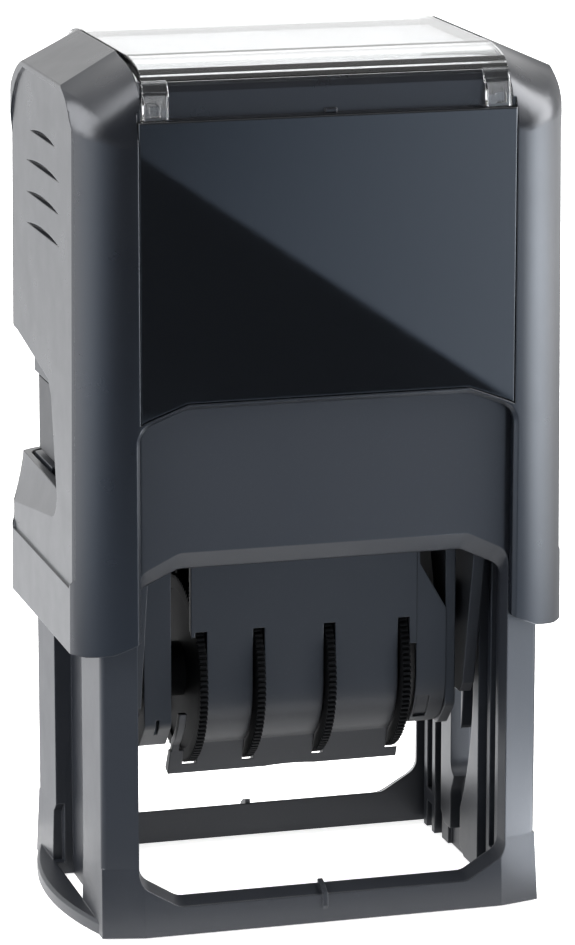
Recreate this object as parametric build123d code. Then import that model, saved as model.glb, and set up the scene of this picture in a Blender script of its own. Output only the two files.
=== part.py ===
from build123d import *
import math
import os

# Self-inking date stamp: base frame, sliding cap, turn-over date unit with setting wheels.
# Frame: +Z up, front faces -Y, origin at the centre of the footprint on the table. Millimetres.

os.makedirs("parts", exist_ok=True)

# ---------------------------------------------------------------- driving dimensions
TRAVEL = 24.0            # how far the cap is pressed
AXIS_Z = 36.0            # turning axis of the date unit above the table, cap up
FACE_H = 11.5            # printing face above the turning axis
PEG_R = 4.6              # guide peg's distance from the turning axis
PEG_D = 3.4              # guide peg diameter
STUB_D = 3.5             # axle stub diameter
GROOVE_W = 3.7           # guide groove width
SLOT_W = 3.8             # axle slot width

# base
BX = 25.85               # base half width
BY = 17.6                # base half depth
BFX = 21.3               # half width of the flat front
BFY = 16.1               # where the corner facets meet the sides
BTOP = 66.0              # top of the base's walls
CHX = 21.4               # chamber half width, the inner face of the cam plates
CHY = 15.6               # chamber half depth
WEB = 23.8               # outer face of the cam plates, inner face of the outer channels
CHAN = 7.0               # half width of the outer channels
DECK = 61.7              # top deck under the return spring

# cap
CX = 29.0                # cap half width at the leg ends
CXT = 28.4               # and at the shoulders, from the mould draft
CY = 19.45               # cap half depth
CR = 8.1                 # plan radius of the cap's corners
CFLAT = 0.85             # how far the flat sides are set into that radius
TOP = 100.0
FLAT_Y = 10.5            # half depth of the flat top
TOP_R = 20.0             # gentle radius from the flat top
CAP_R = 9.0              # radius of the cap's front and rear top edges
WIN_R = 6.3              # and of the clear window between the shoulders
WINX = 21.3              # half width of the clear window
SHOULDER_Z = 96.9        # where the sloping shoulders meet the sides
LEG_Z = 33.3             # lower edge of the cap's legs
CUT_Z = 61.45            # top of the cap's front and rear cut-outs
CUTX = 21.75             # half width of the cut-outs
CIX = 26.3               # inner half width
CIY = 18.0               # inner half depth
LIP_Y = 17.9             # face of the lip under the clear window
PANEL_TOP = 93.75        # top of the gloss panels

# date unit
WHEEL_Z = 26.35          # axis of the setting wheels
RIM_R = 11.0
RIM_T = 0.9
TEETH = 108
HUB_R = 7.35
WHEEL_X = [-12.35, -5.5, 2.95, 11.9]
WHEEL_NAMES = ["day_tens", "day_units", "month", "year"]
BAND_T = 0.9
SHAFT_R = 1.1


# ---------------------------------------------------------------- helpers
def box(x0, x1, y0, y1, z0, z1):
    return Pos((x0 + x1) / 2, (y0 + y1) / 2, (z0 + z1) / 2) * Box(x1 - x0, y1 - y0, z1 - z0)


def face_of(pts):
    return make_face(Polyline(*[tuple(p) for p in pts], close=True))


def round_face(pts, radius, low=-1e9):
    """Outline with its corners rounded, from a height up."""
    f = face_of(pts)
    return fillet([v for v in f.vertices() if v.Y > low], radius)


def prism_x(pts, x0, x1):
    """Outline of (y, z) points, from x0 to x1."""
    return extrude(Plane.YZ.offset(x0) * face_of(pts), amount=x1 - x0)


def prism_y(pts, y0, y1):
    """Outline of (x, z) points, from y0 to y1."""
    return extrude(Plane.XZ.offset(-y1) * face_of(pts), amount=y1 - y0)


def prism_z(pts, z0, z1):
    return extrude(Plane.XY.offset(z0) * face_of(pts), amount=z1 - z0)


def cyl_x(r, x0, x1, y, z):
    return Pos(0, y, z) * extrude(Plane.YZ.offset(x0) * Circle(r), amount=x1 - x0)


def mirror_x(s):
    return mirror(s, about=Plane.YZ)


def mirror_y(s):
    return mirror(s, about=Plane.XZ)


def soften(part, edges, radius, what):
    """Fillet, tried at smaller radii if the first fails."""
    edges = list(edges)
    if not edges:
        print("no edges:", what)
        return part
    for r in (radius, radius * 0.7, radius * 0.4):
        try:
            out = fillet(edges, r)
            if out.is_valid:
                if r < radius:
                    print("smaller radius:", what, r)
                return out
        except Exception:
            pass
    print("left sharp:", what)
    return part


def bevel(part, edges, size, what):
    edges = list(edges)
    if not edges:
        print("no edges:", what)
        return part
    for s in (size, size * 0.6):
        try:
            out = chamfer(edges, s)
            if out.is_valid:
                return out
        except Exception:
            pass
    print("not bevelled:", what)
    return part


def near(edge, test):
    return all(test(edge @ t) for t in (0.02, 0.5, 0.98))


def edge_at(part, x, y, z):
    """The edge whose middle is nearest to a point."""
    return min(part.edges(), key=lambda e: (Vector(x, y, z) - (e @ 0.5)).length)


made = {}


def keep(name, shape):
    made[name] = shape
    export_step(shape, f"parts/{name}.step")


# ---------------------------------------------------------------- base frame
def base_outline(d=0.0, out=0.0):
    """Plan of the base; d widens its front and rear, out its sides."""
    by, bf, bx = BY + d, BFY + 1.7 * d, BX + out
    return [(-BFX, -by), (BFX, -by), (bx, -bf), (bx, bf), (BFX, by), (-BFX, by), (-bx, bf), (-bx, -bf)]


def make_base():
    body = prism_z(base_outline(), 0, BTOP)
    body = soften(body, list(body.edges().filter_by(Axis.Z)), 0.8, "base corners")
    # the foot flares slightly over its last 8 mm
    low = Plane.XY * face_of(base_outline(0.5, 0.2))
    high = Plane.XY.offset(8.0) * face_of(base_outline())
    body += loft([low, high], ruled=True)
    # bowed rim along both sides
    ye = BFY + 0.7
    arc = ThreePointArc((BX - 0.4, -ye), (BX + 2.85, 0.0), (BX - 0.4, ye))
    rim = extrude(make_face([arc, Line((BX - 0.4, ye), (BX - 0.4, -ye))]), amount=1.5)
    rim = bevel(rim, [e for e in rim.edges() if near(e, lambda p: p.Z > 1.49) and (e @ 0.5).X > BX + 1], 0.3, "rim edge")
    body += rim
    body += mirror_x(rim)

    # chamber of the date unit; the posts' inner faces are set back from the cam plates
    body -= box(-CHX, CHX, -CHY, CHY, -1, 47.2)
    for sx in (1, -1):
        xa, xb = sorted((sx * (CHX - 0.5), sx * 23.3))
        body -= box(xa, xb, -CHY, -8.4, -1, 47.2)
        body -= box(xa, xb, 8.2, CHY, -1, 47.2)
        xa, xb = sorted((sx * (CHX - 0.5), sx * 22.4))
        body -= box(xa, xb, 5.6, 8.3, -1, 47.2)
    # front and rear windows, widening outwards
    inner = [(-17.0, 4.0), (17.0, 4.0), (CHX, 6.7), (CHX, 40.2), (16.6, 42.4), (-16.6, 42.4), (-CHX, 40.2), (-CHX, 6.7)]
    outer = [(-17.2, 3.3), (17.2, 3.3), (21.85, 6.1), (21.85, 42.4), (17.0, 44.8), (-17.0, 44.8), (-21.85, 42.4), (-21.85, 6.1)]
    f_in = Plane.XZ.offset(CHY - 0.05) * round_face(inner, 2.0)
    f_out = Plane.XZ.offset(BY + 0.02) * round_face(outer, 2.4)
    far = Plane.XZ.offset(BY + 1.5) * round_face(outer, 2.4)
    win = loft([f_in, f_out], ruled=True) + loft([f_out, far], ruled=True)
    body -= win
    body -= mirror_y(win)

    # ink pad bay: open to the rear, with ledges for the tray's flanges
    body -= box(-CHX, CHX, -12.75, 12.75, 47.1, 49.6)
    body -= box(-CHX - 0.4, CHX + 0.4, -14.6, 14.6, 49.55, 59.4)
    body -= box(-CHX - 0.4, CHX + 0.4, 12.7, 19, 47.6, 59.4)
    # finger cut-outs in the sides for the tray's grips
    body -= box(-BX - 1, BX + 1, 0.9, 19, 49.55, 59.4)
    # top tray for the return spring
    body -= box(-CHX - 1, CHX + 1, -CHY, CHY, DECK, BTOP + 1)

    for sx in (1, -1):
        # outer channel for the cap's bearing arm, open through the foot
        x0, x1 = sorted((sx * WEB, sx * (BX + 0.06)))
        body -= box(x0, x1, -CHAN, CHAN, -1, BTOP + 1)
        # and out through the flare above the rim
        x0, x1 = sorted((sx * WEB, sx * (BX + 0.6)))
        body -= box(x0, x1, -CHAN, CHAN, 1.5, BTOP + 1)
        # lead-in notch at the lower end of the channel's rear edge
        xa, xb = sorted((sx * (BX - 1.0), sx * (BX + 0.6)))
        body -= prism_x([(CHAN - 0.1, 1.5), (CHAN + 1.2, 1.5), (CHAN + 1.2, 7.6), (CHAN - 0.1, 8.8)], xa, xb)
        # axle slot through the cam plate
        xs0, xs1 = sorted((sx * (CHX - 0.5), sx * (WEB + 0.5)))
        low_z, high_z = AXIS_Z - TRAVEL - 0.15, AXIS_Z + 0.15
        body -= box(xs0, xs1, -SLOT_W / 2, SLOT_W / 2, low_z, high_z)
        body -= cyl_x(SLOT_W / 2, xs0, xs1, 0, low_z)
        body -= cyl_x(SLOT_W / 2, xs0, xs1, 0, high_z)
        # guide groove: the peg's path as the unit sinks and turns, open at the lower end
        n = 24
        path = []
        for i in range(n + 1):
            t = math.pi * i / n
            path.append((-PEG_R * math.sin(t), AXIS_Z - TRAVEL * i / n + PEG_R * math.cos(t)))
        left, right = [], []
        for i, (y, z) in enumerate(path):
            t = math.pi * i / n
            dy = -PEG_R * math.cos(t)
            dz = -TRAVEL / math.pi - PEG_R * math.sin(t)
            m = math.hypot(dy, dz)
            ny, nz = -dz / m, dy / m
            left.append((y + ny * GROOVE_W / 2, z + nz * GROOVE_W / 2))
            right.append((y - ny * GROOVE_W / 2, z - nz * GROOVE_W / 2))
        wire = [Spline(*left), Line(left[-1], right[-1]), Spline(*right[::-1]), Line(right[0], left[0])]
        xg0, xg1 = sorted((sx * (CHX - 0.3), sx * (CHX + 1.45)))
        groove = extrude(Plane.YZ.offset(xg0) * make_face(wire), amount=xg1 - xg0)
        groove += cyl_x(GROOVE_W / 2, xg0, xg1, *path[0])
        groove += cyl_x(GROOVE_W / 2, xg0, xg1, *path[-1])
        groove += box(xg0, xg1, -GROOVE_W / 2, GROOVE_W / 2, -1, path[-1][1])
        body -= groove
        # the two rails end short of the table with chamfered corners
        body -= prism_x([(1.5, -1), (5.7, -1), (5.7, 4.6), (4.2, 3.2), (1.5, 3.2)], xg0, xg1)
        body -= prism_x([(-1.5, -1), (-8.5, -1), (-8.5, 2.2), (-6.6, 1.3), (-3.4, 1.3), (-1.5, 2.6)], xg0, xg1)
        # upright ribs in the rear and front posts
        for sy in (1, -1):
            xr0, xr1 = sorted((sx * 22.0, sx * 23.5))
            for ya, yb in ((9.9, 11.0), (13.0, 14.2)):
                y0, y1 = sorted((sy * ya, sy * yb))
                body += box(xr0, xr1, y0, y1, 0.0, 47.3)
            y0, y1 = sorted((sy * 10.9, sy * 13.1))
            body += box(xr0, xr1, y0, y1, 3.4, 5.0)

    # positioning nib at the middle of the front and rear bars
    nib = prism_x([(-18.0, 1.6), (-18.25, 2.0), (-18.0, 3.5), (-17.0, 4.15), (-15.7, 4.5), (-15.7, 3.5), (-17.2, 2.6)], -0.3, 0.3)
    body += nib
    body += mirror_y(nib)
    # spring seat on the deck
    body += Pos(0, 0, DECK) * (extrude(Circle(7.6), amount=1.6) - extrude(Circle(6.5), amount=1.6))
    return body


base = make_base()
keep("base_frame", base)

# ---------------------------------------------------------------- ink cartridge
PAD_Z = AXIS_Z + FACE_H + 0.8     # the felt hangs 0.8 mm over the die
tray = box(-21.1, 21.1, -13.9, 13.9, 50.2, 58.9)
tray += box(-21.4, 21.4, -14.4, 14.4, 49.65, 50.9)
tray += box(-21.4, 21.4, 12.9, 17.4, 48.4, 58.9)                    # rear face, the pull side
for s in (1, -1):
    x0, x1 = sorted((s * 20.9, s * 25.5))
    grip = box(x0, x1, 1.2, 16.4, 50.2, 58.9)
    tray += grip
tray -= box(-19.9, 19.9, -12.7, 12.4, 48.2, 57.6)                    # the felt's well
tray -= box(-24.2, -22.0, 2.8, 15.0, 51.6, 60)                       # hollow grips
tray -= box(22.0, 24.2, 2.8, 15.0, 51.6, 60)
pull = prism_y([(-9.0, 51.0), (9.0, 51.0), (7.4, 57.0), (-7.4, 57.0)], 16.2, 18.0)
tray -= pull                                                         # shallow thumb recess
for zz in (52.4, 53.9, 55.4):
    tray += box(-6.6, 6.6, 16.1, 16.9, zz, zz + 0.6)
tray = soften(tray, [e for e in tray.edges().filter_by(Axis.Z) if abs((e @ 0.5).X) > 25 and (e @ 0.5).Y > 15.5], 1.6, "tray grip corners")
keep("ink_tray", tray)

felt = box(-19.85, 19.85, -12.65, 12.35, PAD_Z, 57.55)
felt = soften(felt, [e for e in felt.edges() if near(e, lambda p: p.Z < PAD_Z + 0.01)], 0.35, "felt edge")
keep("ink_pad_felt", felt)

# ---------------------------------------------------------------- cap
def yz_profile(o, low, radius, top):
    """Side outline of the cap, o smaller all round, with both top edges rounded."""
    a = math.sqrt(0.5)
    cy, top, r = CY - o, top - o, radius - o
    yc, zc = cy - r, top - r
    return make_face([
        Line((-cy, low), (-cy, zc)),
        ThreePointArc((-cy, zc), (-yc - r * a, zc + r * a), (-yc, top)),
        Line((-yc, top), (yc, top)),
        ThreePointArc((yc, top), (yc + r * a, zc + r * a), (cy, zc)),
        Line((cy, zc), (cy, low)),
        Line((cy, low), (-cy, low)),
    ])


def crown(o, low):
    """Solid under the gentle rounding of the top, o lower, wider than the cap."""
    r, zc, ye = TOP_R - o, TOP - TOP_R, CY + 1
    ym = (ye + FLAT_Y) / 2
    zz = lambda y: zc + math.sqrt(r * r - (y - FLAT_Y) ** 2)
    face = make_face([
        Line((-ye, low), (-ye, zz(ye))),
        ThreePointArc((-ye, zz(ye)), (-ym, zz(ym)), (-FLAT_Y, TOP - o)),
        Line((-FLAT_Y, TOP - o), (FLAT_Y, TOP - o)),
        ThreePointArc((FLAT_Y, TOP - o), (ym, zz(ym)), (ye, zz(ye))),
        Line((ye, zz(ye)), (ye, low)),
        Line((ye, low), (-ye, low)),
    ])
    return extrude(Plane.YZ.offset(-CX - 2) * face, amount=2 * CX + 4)


def slab(o, low, x0, x1, radius, top=TOP):
    return extrude(Plane.YZ.offset(x0) * yz_profile(o, low, radius, top), amount=x1 - x0)


def side_x(z):
    """Half width of the cap's side at a height."""
    return CX + (CXT - CX) * (z - LEG_Z) / (SHOULDER_Z - LEG_Z)


def fall_face(front, rear, o, low):
    """Section of a shoulder on (y, z): flat in the middle, falling along the points to the front and rear."""
    front = [(-y + (o if i else 0.0), z - o) for i, (y, z) in enumerate(front)]
    rear = [(y - (o if i else 0.0), z - o) for i, (y, z) in enumerate(rear)]
    return make_face([
        Line(front[0], rear[0]),
        Spline(*rear),
        Line(rear[-1], (rear[-1][0], low)),
        Line((rear[-1][0], low), (front[-1][0], low)),
        Line((front[-1][0], low), front[-1]),
        Spline(*front[::-1]),
    ])


def shoulders(o):
    """Solid under both sloping shoulders, o lower."""
    x0, x1 = WINX - 0.3, CX + 1
    drop = (TOP - SHOULDER_Z) / (CXT - WINX)
    z0, z1 = TOP - drop * (x0 - WINX), TOP - drop * (x1 - WINX)
    by_window = [(7.0, z0), (10.5, 99.65), (14.0, 99.15), (16.0, 98.35), (17.5, 97.1), (18.5, 95.4), (19.2, 93.2), (20.05, 89.5)]
    front = [(11.4, z1), (12.9, 95.4), (14.5, 94.5), (15.75, 93.4), (16.9, 91.85), (17.9, 89.8), (18.95, 86.9), (20.05, 82.8)]
    rear = [(8.6, z1), (10.9, 95.3), (12.8, 94.1), (14.4, 92.6), (15.9, 90.5), (17.3, 88.0), (18.7, 85.0), (20.05, 81.0)]
    rear_win = [(10.5, z0), (12.5, 99.8), (14.5, 99.2), (16.2, 98.2), (17.5, 96.9), (18.5, 95.2), (19.2, 93.1), (20.05, 89.5)]
    right = loft([Plane.YZ.offset(x0) * fall_face(by_window, rear_win, o, 20), Plane.YZ.offset(x1) * fall_face(front, rear, o, 20)], ruled=True)
    return right + mirror_x(right) + box(-x0 - 0.1, x0 + 0.1, -CY - 2, CY + 2, 20, TOP + 2)


def cap_outer(o=0.0):
    """The cap's solid outer shape, o smaller all round."""
    up = TOP + 1.2
    body = slab(o, LEG_Z, -CX - 3, CX + 3, CAP_R, up)
    wb = CX + CFLAT - o
    wt = wb + (CXT - CX) * (up + 1 - LEG_Z) / (SHOULDER_Z - LEG_Z)
    body &= prism_y([(-wb, LEG_Z), (wb, LEG_Z), (wt, up + 1), (-wt, up + 1)], -CY - 1, CY + 1)
    corner = [e for e in body.edges()
              if abs((e @ 0.5).X) > wt - 0.1 and not near(e, lambda p: p.Z < LEG_Z + 0.01)]
    body = soften(body, corner, CR - o, "cap corners")
    cb, ct = CX - o, CXT - o
    front = [(-cb, LEG_Z), (cb, LEG_Z), (ct, SHOULDER_Z - o), (WINX, TOP - o), (-WINX, TOP - o), (-ct, SHOULDER_Z - o)]
    body &= prism_y(front, -CY - 1, CY + 1)
    return body & shoulders(o)


def make_cap():
    body = cap_outer()
    # the shoulders run softly into the front corners
    for sx in (1, -1):
        body = soften(body, [edge_at(body, sx * 23.2, -19.2, 91.5), edge_at(body, sx * 27.4, -16.4, 93.9)], 4.0, "shoulder blend")

    # side faces stepped in a little inside their outline
    small = cap_outer(0.25)
    for sx in (1, -1):
        xa, xb = sorted((sx * 24.0, sx * (CX + 1)))
        face = prism_x([(-15.6, 42.0), (-14.4, 40.8), (14.4, 40.8), (15.6, 42.0), (15.6, 87.6), (15.0, 90.0), (13.9, 92.2), (12.3, 94.0), (10.6, 95.2),
                        (8.4, 96.25), (-10.6, 96.25), (-12.8, 95.5), (-14.3, 94.4), (-15.2, 92.8), (-15.6, 90.6)], xa, xb)
        body -= face - small

    # inside
    inner = extrude(Plane.XY.offset(LEG_Z - 1) * RectangleRounded(2 * CIX, 2 * CIY, 2.6), amount=92.0 - LEG_Z + 1)
    inner &= prism_y([(-CIX, 20), (CIX, 20), (CIX, 91.0), (WINX - 1, 94.9), (-WINX + 1, 94.9), (-CIX, 91.0)], -CY, CY)
    body -= inner
    body -= box(-20.2, 20.2, -15.0, 15.0, 90, 95.2)

    # the lip under the clear window reaches forward of the shoulders
    lip = slab(0.0, 88.0, -WINX, WINX, WIN_R)
    body += (lip & (box(-WINX, WINX, -CY, -15.0, 88, TOP) + box(-WINX, WINX, 15.0, CY, 88, TOP))) - inner
    # bed of the clear window: upright lip in front and behind, lower roof between
    half = [(21.0, PANEL_TOP), (LIP_Y + 0.05, PANEL_TOP), (LIP_Y, 96.75), (LIP_Y - 0.3, 97.4), (LIP_Y - 0.75, 97.8), (16.1, 97.8),
            (15.7, 96.55), (11.0, 97.5)]
    bed = [(-y, z) for y, z in half] + [(y, z) for y, z in half[::-1]] + [(21.0, 102), (-21.0, 102)]
    body -= prism_x(bed, -WINX, WINX)
    # pry nib at the middle of the front lip
    body += Pos(0.4, -LIP_Y - 0.2, PANEL_TOP + 0.3) * Box(1.3, 0.6, 0.45)

    # cut-outs below the panels, front and rear, with chamfered corners
    cut = [(-CUTX, 30), (CUTX, 30), (CUTX, CUT_Z - 3.1), (21.05, CUT_Z - 1.8), (16.4, CUT_Z),
           (-16.4, CUT_Z), (-21.05, CUT_Z - 1.8), (-CUTX, CUT_Z - 3.1)]
    c = extrude(Plane.XZ.offset(CIY - 0.5) * round_face(cut, 2.2, 40), amount=CY + 1 - CIY + 0.5)
    body -= c
    body -= mirror_y(c)
    # bevel around the cut-outs
    b = 0.45
    wide = [(-CUTX - b, 30), (CUTX + b, 30), (CUTX + b, CUT_Z - 2.95), (21.05 + b * 0.75, CUT_Z - 1.8 + b * 0.7), (16.4 + b * 0.25, CUT_Z + b),
            (-16.4 - b * 0.25, CUT_Z + b), (-21.05 - b * 0.75, CUT_Z - 1.8 + b * 0.7), (-CUTX - b, CUT_Z - 2.95)]
    w = loft([Plane.XZ.offset(CY - b) * round_face(cut, 2.2, 40), Plane.XZ.offset(CY) * round_face(wide, 2.5, 40)], ruled=True)
    body -= w
    body -= mirror_y(w)

    # openings and rebates of the gloss panels
    hole = [(-20.3, 92.6), (-20.3, CUT_Z + 0.4), (-16.2, CUT_Z + 2.0), (16.2, CUT_Z + 2.0), (20.3, CUT_Z + 0.4), (20.3, 92.6)]
    rebate = [(-CUTX, PANEL_TOP + 1), (-CUTX, CUT_Z - 1.5), (-20.95, CUT_Z - 1.1), (-16.3, CUT_Z + 0.65), (16.3, CUT_Z + 0.65),
              (20.95, CUT_Z - 1.1), (CUTX, CUT_Z - 1.5), (CUTX, PANEL_TOP + 1)]
    h = prism_y(hole, -CY - 1, -CIY + 1)
    g = prism_y(rebate, -CY - 1, -CY + 0.95)
    body -= h
    body -= mirror_y(h)
    body -= g
    body -= mirror_y(g)

    # four lens-shaped grips on each side
    for sx in (1, -1):
        for i, zz in enumerate((89.9, 86.25, 82.6, 79.0)):
            half_l = 6.4 if i == 0 else 8.4
            depth = 0.75
            rr = (half_l * half_l + depth * depth) / (2 * depth)
            prof = make_face([Line((rr - 2.2, -0.05), (rr, 0.0)), Line((rr, 0.0), (rr - 2.2, 1.9)), Line((rr - 2.2, 1.9), (rr - 2.2, -0.05))])
            coin = revolve(Plane.XZ * prof, Axis.Z)
            body -= Pos(sx * (side_x(zz) - 0.25 + rr - depth), -0.6, zz - 0.5) * coin
    # finger notches round the rear corners, with a scooped lower lip
    for sx in (1, -1):
        x0, x1 = sorted((sx * (CUTX - 0.2), sx * (CX + 1)))
        body -= prism_x([(-4.6, 60.8), (-3.0, 62.4), (12.9, 64.9), (21.0, 65.3), (21.0, 49.4), (-7.5, 49.4)], x0, x1)
        scoop = extrude(Plane.XZ.offset(7.3) * (Pos(sx * (side_x(50.0) - 2.1 + 20.0), 54.6) * Circle(20.0)), amount=-34.0)
        scoop = Rot(-8.0, 0, 0) * (Pos(0, 0, -53.0) * scoop)
        scoop = Pos(0, 0, 53.0) * scoop
        scoop &= prism_x([(-7.4, 49.5), (-7.0, 48.3), (-6.2, 47.3), (-4.9, 46.7), (-4.0, 40.0), (25.0, 40.0), (25.0, 49.5)], -60, 60)
        body -= scoop
    # leg ends: inner corners raised
    for sx in (1, -1):
        wedge = [(CUTX - 0.6, 35.6), (CUTX - 0.6, 31), (27.6, 31), (27.6, LEG_Z), (24.8, 33.75), (CUTX, 35.1)]
        for sy in (1, -1):
            y0, y1 = sorted((sy * 14.0, sy * (CY + 1)))
            body -= prism_y([(sx * x, z) for x, z in wedge], y0, y1)

    # bearing arms inside the legs, each with a blind bore for the axle stub
    for sx in (1, -1):
        x0, x1 = sorted((sx * 24.15, sx * (CIX + 0.3)))
        body += prism_x([(-5.6, LEG_Z + 0.1), (5.6, LEG_Z + 0.1), (5.6, 44.0), (3.2, 49.0), (-3.2, 49.0), (-5.6, 44.0)], x0, x1)
        xb0, xb1 = sorted((sx * 24.0, sx * 27.0))
        body -= cyl_x(STUB_D / 2 + 0.05, xb0, xb1, 0, AXIS_Z)
    # spring post under the roof
    body += Pos(0, 0, 91.2) * extrude(Circle(4.6), amount=4.4)
    return body


cap = make_cap()
keep("cap_housing", cap)

# gloss panels
pc = 0.05
panel_pts = [(-CUTX + pc, PANEL_TOP - pc), (-CUTX + pc, CUT_Z - 1.45 + pc), (-20.93, CUT_Z - 1.05 + pc), (-16.3, CUT_Z + 0.65 + pc),
             (16.3, CUT_Z + 0.65 + pc), (20.93, CUT_Z - 1.05 + pc), (CUTX - pc, CUT_Z - 1.45 + pc), (CUTX - pc, PANEL_TOP - pc)]
panel = prism_y(panel_pts, -CY + 0.04, -CY + 0.95)
panel = bevel(panel, [e for e in panel.edges() if near(e, lambda p: p.Y < -CY + 0.05)], 0.12, "panel edge")
keep("front_panel", panel)
keep("rear_panel", mirror_y(panel))


# clear index window with four corner clips
def make_window():
    xw = WINX - 0.3
    outer = slab(0.025, 80, -xw, xw, WIN_R)
    inner = slab(1.25, 79, -xw - 1, xw + 1, WIN_R)
    w = (outer & crown(0.025, 70)) - (inner & crown(1.25, 70))
    w -= box(-30, 30, -30, 30, 70, 97.85)
    for sx in (1, -1):
        for sy in (1, -1):
            x0, x1 = sorted((sx * 18.1, sx * xw))
            w += prism_x([(sy * 16.2, 98.2), (sy * 16.2, 97.86), (sy * 17.16, 97.87), (sy * 17.7, 97.42), (sy * (LIP_Y + 0.09), 96.76),
                          (sy * (LIP_Y + 0.12), PANEL_TOP + 0.1), (sy * 19.2, PANEL_TOP + 0.1), (sy * 19.15, 95.2), (sy * 18.82, 96.1),
                          (sy * 18.38, 96.9), (sy * 17.9, 97.55), (sy * 17.42, 98.05), (sy * 17.0, 98.4)], x0, x1)
            xs = sorted((sx * 19.2, sx * 20.4))
            w -= box(xs[0], xs[1], *sorted((sy * 18.75, sy * 19.6)), 94.25, 95.35)
            xs = sorted((sx * 18.0, sx * 18.3))
            w -= box(xs[0], xs[1], *sorted((sy * 17.5, sy * 19.6)), PANEL_TOP, 96.4)
    return w


keep("index_window", make_window())

card_pts = [(-14.6, 96.82), (-11.0, 97.56), (11.0, 97.56), (14.6, 96.82), (14.6, 97.12), (11.0, 97.86), (-11.0, 97.86), (-14.6, 97.12)]
keep("index_card", prism_x(card_pts, -20.7, 20.7))

# return spring: open coils with flat end turns, between the deck and the roof
SP_Z0, SP_Z1, SP_R, WIRE = DECK + 0.05, 95.15, 5.85, 0.45


def make_spring():
    body_h = SP_Z1 - SP_Z0 - 2 * WIRE
    coil = Helix(pitch=body_h / 7.0, height=body_h, radius=SP_R, center=(0, 0, SP_Z0 + WIRE))
    sec = Plane(origin=coil @ 0, z_dir=coil % 0) * Circle(WIRE)
    return sweep(sec, path=coil)


keep("return_spring", make_spring())

# ---------------------------------------------------------------- date unit
A = AXIS_Z


def make_turning_frame():
    z1 = A + 9.4
    top = box(-20.7, 20.7, -12.2, 12.2, A + 7.6, z1)
    top -= box(-13.9, 18.3, -3.4, 3.4, A + 7, z1 + 1)
    top = soften(top, [e for e in top.edges().filter_by(Axis.Z) if abs((e @ 0.5).X) > 20], 0.8, "carrier corners")
    fr = top
    for sx in (1, -1):
        x0, x1 = sorted((sx * 19.3, sx * 20.7))
        arm = prism_x([(-12.0, A + 8.2), (-12.4, A + 4.4), (-8.7, A - 11.6), (-7.6, A - 12.9), (7.6, A - 12.9), (8.7, A - 11.6),
                       (12.4, A + 4.4), (12.0, A + 8.2)], x0, x1)
        fr += arm
        # axle stub and guide peg
        xs0, xs1 = sorted((sx * 20.5, sx * 26.75))
        fr += cyl_x(STUB_D / 2, xs0, xs1, 0, A)
        xp0, xp1 = sorted((sx * 20.5, sx * (CHX + 1.25)))
        fr += cyl_x(PEG_D / 2, xp0, xp1, 0, A + PEG_R)
        # bearing seat that the date core clicks into
        fr -= cyl_x(2.6, *sorted((sx * 19.2, sx * 19.9)), 0, A - 4.0)
    return fr


keep("turning_frame", make_turning_frame())

# die: foam cushion and rubber plate with plain relief, open in the middle for the date
SLOTX0, SLOTX1, SLOTY = -13.0, 17.5, 2.9


def with_slot(s):
    return s - box(SLOTX0, SLOTX1, -SLOTY, SLOTY, A, A + 20)


keep("die_cushion", with_slot(box(-20.3, 20.3, -11.8, 11.8, A + 9.4, A + 10.2)))
die = with_slot(box(-20.4, 20.4, -11.9, 11.9, A + 10.2, A + 11.0))
frame_out = box(-20.0, 20.0, -11.0, 11.0, A + 11.0, A + 11.5)
frame_in = box(-19.3, 19.3, -10.3, 10.3, A + 10.9, A + 11.6)
die += frame_out - frame_in
for y, half in ((8.4, 14.0), (6.0, 16.5), (-6.0, 16.5), (-8.4, 12.0)):
    die += box(-half, half, y - 0.55, y + 0.55, A + 11.0, A + 11.5)
keep("text_plate", die)

# date core covers
PY = 9.4                                   # flat of the cover, and its radius about the wheels' axis
CT = 0.8
COVER_X0, COVER_X1 = -13.52, 13.5          # the front cover's ends
SLOT_HALF = 0.7                            # half width of the wheels' slots


def cover_face(r_out, thick, lip):
    """Section on (y, z): flat from the carrier down, round the wheels, and for the front a straight lip."""
    ri = r_out - thick
    top = A + 7.5
    a1 = math.radians(216) if lip else math.radians(228)
    am = math.radians(180 + 18)
    po = lambda a: (r_out * math.cos(a), WHEEL_Z + r_out * math.sin(a))
    pi = lambda a: (ri * math.cos(a), WHEEL_Z + ri * math.sin(a))
    # the outer line runs from the top down to the end of the round part
    lines = [Line((-r_out, top), (-r_out, WHEEL_Z)), ThreePointArc((-r_out, WHEEL_Z), po(am), po(a1))]
    if lip:
        e_out, e_in = (-3.9, 14.75), (-2.7, 15.25)
        # straight lip from the round part to its free edge
        a0 = math.radians(234)
        lines = [Line((-r_out, top), (-r_out, WHEEL_Z)), ThreePointArc((-r_out, WHEEL_Z), po(math.radians(207)), po(a0)),
                 Line(po(a0), e_out), Line(e_out, e_in), Line(e_in, pi(a0)),
                 ThreePointArc(pi(a0), pi(math.radians(207)), (-ri, WHEEL_Z)), Line((-ri, WHEEL_Z), (-ri, top)), Line((-ri, top), (-r_out, top))]
    else:
        lines += [Line(po(a1), pi(a1)), ThreePointArc(pi(a1), pi(am), (-ri, WHEEL_Z)), Line((-ri, WHEEL_Z), (-ri, top)), Line((-ri, top), (-r_out, top))]
    return make_face(lines)


def cut_slots(s):
    for x in WHEEL_X:
        s -= cyl_x(RIM_R + 0.2, x - SLOT_HALF, x + SLOT_HALF, 0, WHEEL_Z)
        s -= box(x - SLOT_HALF, x + SLOT_HALF, -13, 13, WHEEL_Z, 33.1)
    return s


front = extrude(Plane.YZ.offset(COVER_X0) * cover_face(PY, CT, True), amount=COVER_X1 - COVER_X0)
wing = extrude(Plane.YZ.offset(13.3) * cover_face(PY - 0.2, 0.6, False), amount=3.85)
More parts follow.
